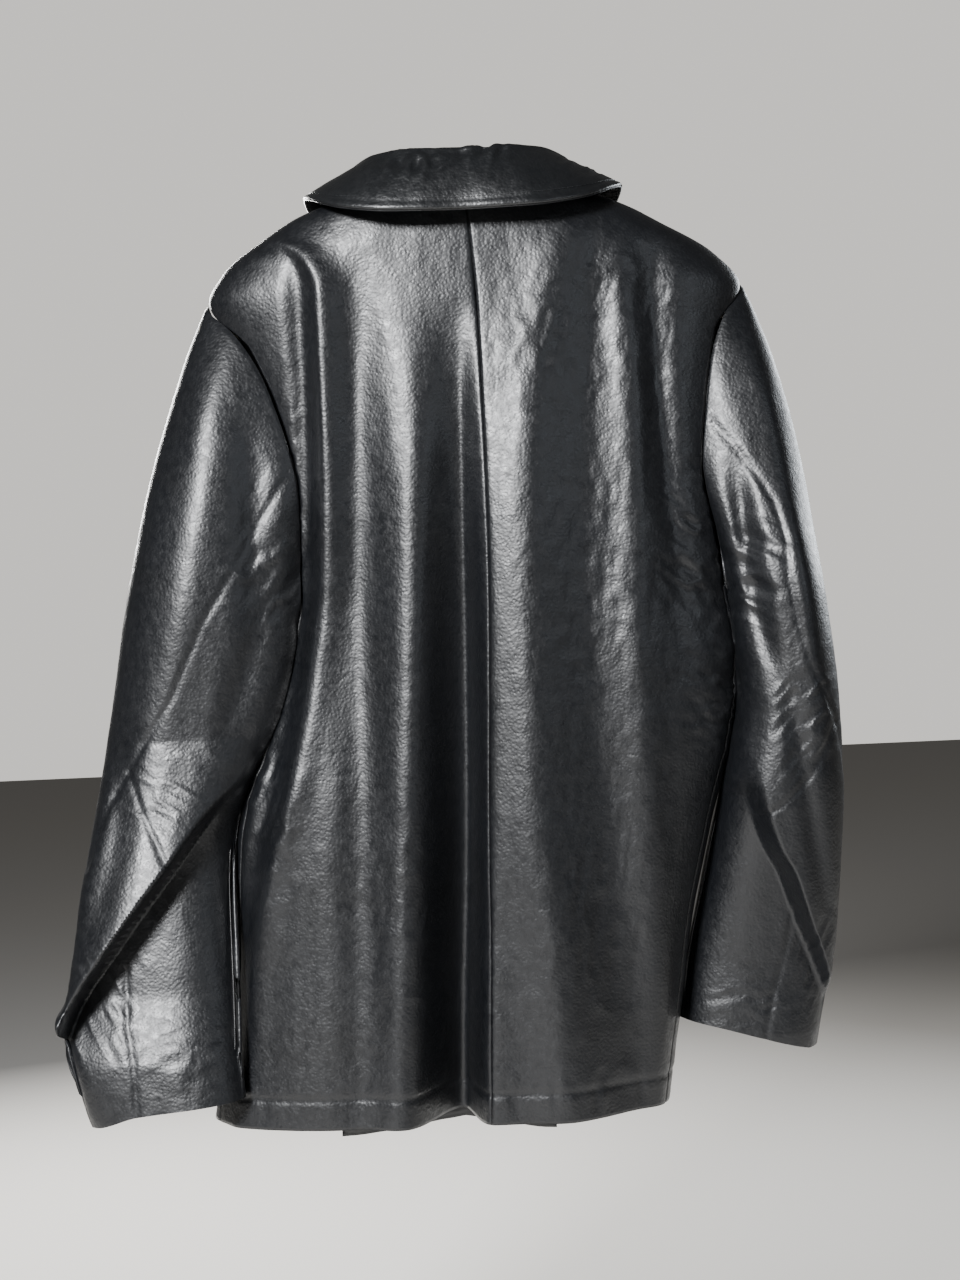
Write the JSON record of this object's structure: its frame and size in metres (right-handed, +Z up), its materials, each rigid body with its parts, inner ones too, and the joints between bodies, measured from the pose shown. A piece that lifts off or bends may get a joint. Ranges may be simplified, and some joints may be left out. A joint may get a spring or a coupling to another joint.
{
  "type": "leather jacket",
  "caption": "Tailored double-breasted leather jacket with notched turned-down collar, flap pockets and seamed sleeves that bend, hung open from its neck.",
  "frame": {"origin": "centre of the neck opening on the level of the back neck seam, where a hanger's neck stands", "axes": "+Z up, +Y towards the fronts, -Y towards the back, +X towards the wearer's right"},
  "size_m": [0.6524, 0.1966, 0.8056],
  "materials": {
    "leather": "semi-gloss fine grain",
    "lining_cloth": "satin twill",
    "padding": "matte felt",
    "buttons": "polished"
  },
  "bodies": {
    "root": {"back_lining": "lining_cloth", "back_neck_facing": "leather", "back_panel_left": "leather", "back_panel_right": "leather", "collar_stand": "leather", "front_shoulder_left": "leather", "front_shoulder_right": "leather", "lapel_top_left": "leather", "lapel_top_right": "leather", "shoulder_pad_left": "padding", "shoulder_pad_right": "padding", "side_panel_left": "leather", "side_panel_right": "leather", "sleeve_cap_left": "leather", "sleeve_cap_lining_left": "lining_cloth", "sleeve_cap_lining_right": "lining_cloth", "sleeve_cap_right": "leather", "sleeve_head_roll_left": "padding", "sleeve_head_roll_right": "padding", "under_collar": "leather", "upper_collar": "leather"},
    "front_left": {"buttons_left": "buttons", "front_facing_left": "leather", "front_lining_left": "lining_cloth", "front_panel_left": "leather", "lapel_left": "leather", "pocket_bag_left": "lining_cloth", "pocket_welt_left": "leather"},
    "front_right": {"buttons_right": "buttons", "front_facing_right": "leather", "front_lining_right": "lining_cloth", "front_panel_right": "leather", "lapel_right": "leather", "pocket_bag_right": "lining_cloth", "pocket_welt_right": "leather"},
    "flap_left": {"pocket_flap_left": "leather"},
    "flap_right": {"pocket_flap_right": "leather"},
    "sleeve_left": {"sleeve_lining_upper_left": "lining_cloth", "sleeve_top_upper_left": "leather", "sleeve_under_upper_left": "leather"},
    "sleeve_right": {"sleeve_lining_upper_right": "lining_cloth", "sleeve_top_upper_right": "leather", "sleeve_under_upper_right": "leather"},
    "forearm_left": {"cuff_facing_left": "leather", "sleeve_lining_lower_left": "lining_cloth", "sleeve_top_lower_left": "leather", "sleeve_under_lower_left": "leather"},
    "forearm_right": {"cuff_facing_right": "leather", "sleeve_lining_lower_right": "lining_cloth", "sleeve_top_lower_right": "leather", "sleeve_under_lower_right": "leather"},
    "loop": {"hanger_loop": "leather"}
  },
  "joints": [
    {"name": "front_open_left", "type": "hinge", "parent": "root", "child": "front_left", "pos_m": [-0.14183, 0.0483, -0.335], "axis": [0.195, -0.0159, 0.9807], "range_deg": [0, 75]},
    {"name": "front_open_right", "type": "hinge", "parent": "root", "child": "front_right", "pos_m": [0.19595, 0.0483, -0.335], "axis": [0.1458, -0.016, 0.9892], "range_deg": [-15, 0]},
    {"name": "pocket_flap_left", "type": "hinge", "parent": "front_left", "child": "flap_left", "pos_m": [-0.15407, 0.07666, -0.6], "axis": [0.9151, 0.4032, 0], "range_deg": [0, 80]},
    {"name": "pocket_flap_right", "type": "hinge", "parent": "front_right", "child": "flap_right", "pos_m": [0.12644, 0.07094, -0.6], "axis": [0.9744, -0.2246, 0], "range_deg": [0, 80]},
    {"name": "sleeve_raise_left", "type": "hinge", "parent": "root", "child": "sleeve_left", "pos_m": [-0.24, 0, -0.335], "axis": [0, 1, 0], "range_deg": [0, 45]},
    {"name": "sleeve_raise_right", "type": "hinge", "parent": "root", "child": "sleeve_right", "pos_m": [0.258, 0, -0.335], "axis": [0, -1, 0], "range_deg": [0, 45]},
    {"name": "elbow_bend_left", "type": "hinge", "parent": "sleeve_left", "child": "forearm_left", "pos_m": [-0.253, 0.012, -0.49], "axis": [0.7431, 0.6691, 0], "range_deg": [0, 80]},
    {"name": "elbow_bend_right", "type": "hinge", "parent": "sleeve_right", "child": "forearm_right", "pos_m": [0.256, 0.022, -0.49], "axis": [1, 0, 0], "range_deg": [0, 80]},
    {"name": "loop_lift", "type": "hinge", "parent": "root", "child": "loop", "pos_m": [0, -0.0598, -0.01], "axis": [1, 0, 0], "range_deg": [0, 150]}
  ],
  "couplings": [
    {"joint": "front_open_right", "follows": "front_open_left", "ratio": -0.2}
  ]
}
